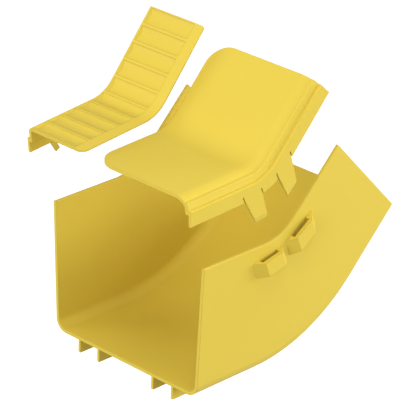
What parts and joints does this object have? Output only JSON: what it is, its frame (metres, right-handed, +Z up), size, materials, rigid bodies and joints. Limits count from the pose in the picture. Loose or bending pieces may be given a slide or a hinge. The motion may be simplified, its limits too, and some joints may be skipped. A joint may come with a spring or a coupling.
{
  "type": "fibre raceway elbow",
  "caption": "Open U-shaped cable raceway elbow that bends upwards by 45 degrees, with a split clip-on cover lifted clear of its walls.",
  "frame": {"origin": "middle of the level end, on the underside of the channel's floor", "axes": "+Y runs from the level end into the channel, +Z is up, and the rising leg climbs at 45 degrees towards +Y"},
  "size_m": [0.165, 0.2351, 0.2385],
  "materials": {
    "moulded_yellow": "smooth moulded plastic with a faint sheen"
  },
  "bodies": {
    "channel": {"channel": "moulded_yellow"},
    "wide_cover": {"wide_cover": "moulded_yellow"},
    "narrow_cover": {"narrow_cover": "moulded_yellow"}
  },
  "joints": [
    {"name": "wide_cover_lift", "type": "hinge", "parent": "channel", "child": "wide_cover", "pos_m": [0, -1.01808, -0.28054], "axis": [1, 0, 0], "range_deg": [-2.6, 0]},
    {"name": "narrow_cover_lift", "type": "hinge", "parent": "channel", "child": "narrow_cover", "pos_m": [0, -0.51311, -0.10043], "axis": [1, 0, 0], "range_deg": [-5.9, 0]}
  ]
}
